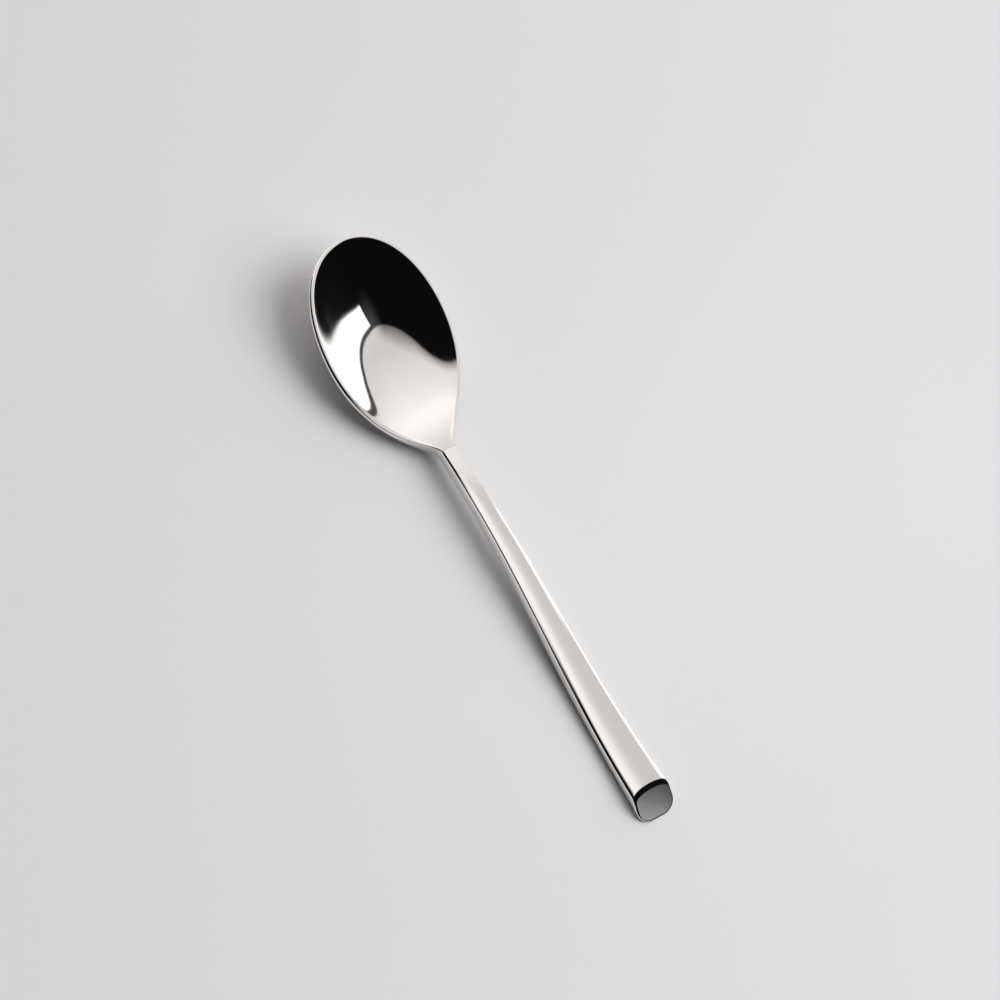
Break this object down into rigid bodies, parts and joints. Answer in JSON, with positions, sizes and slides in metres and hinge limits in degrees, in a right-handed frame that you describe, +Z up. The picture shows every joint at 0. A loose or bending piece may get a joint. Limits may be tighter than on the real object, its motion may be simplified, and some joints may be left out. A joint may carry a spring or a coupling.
{
  "type": "teaspoon",
  "caption": "Teaspoon with an oval bowl and a slim hollow handle that arches from the neck, widens to its foot and ends in a slanted, domed cap.",
  "frame": {"origin": "on the table under the middle of the spoon's length", "axes": "+X along the spoon from the tip of the bowl to the end of the handle, +Y across it, +Z up with the bowl's hollow facing up"},
  "size_m": [0.14, 0.0326, 0.0133],
  "materials": {
    "polished_steel": "mirror-polished stainless steel",
    "cap_steel": "finely polished stainless steel",
    "filler_resin": "cast resin, unseen inside the handle"
  },
  "bodies": {
    "root": {"bowl": "polished_steel", "handle_top_shell": "polished_steel", "handle_bottom_shell": "polished_steel", "handle_filler": "filler_resin", "end_cap": "cap_steel"}
  },
  "joints": []
}
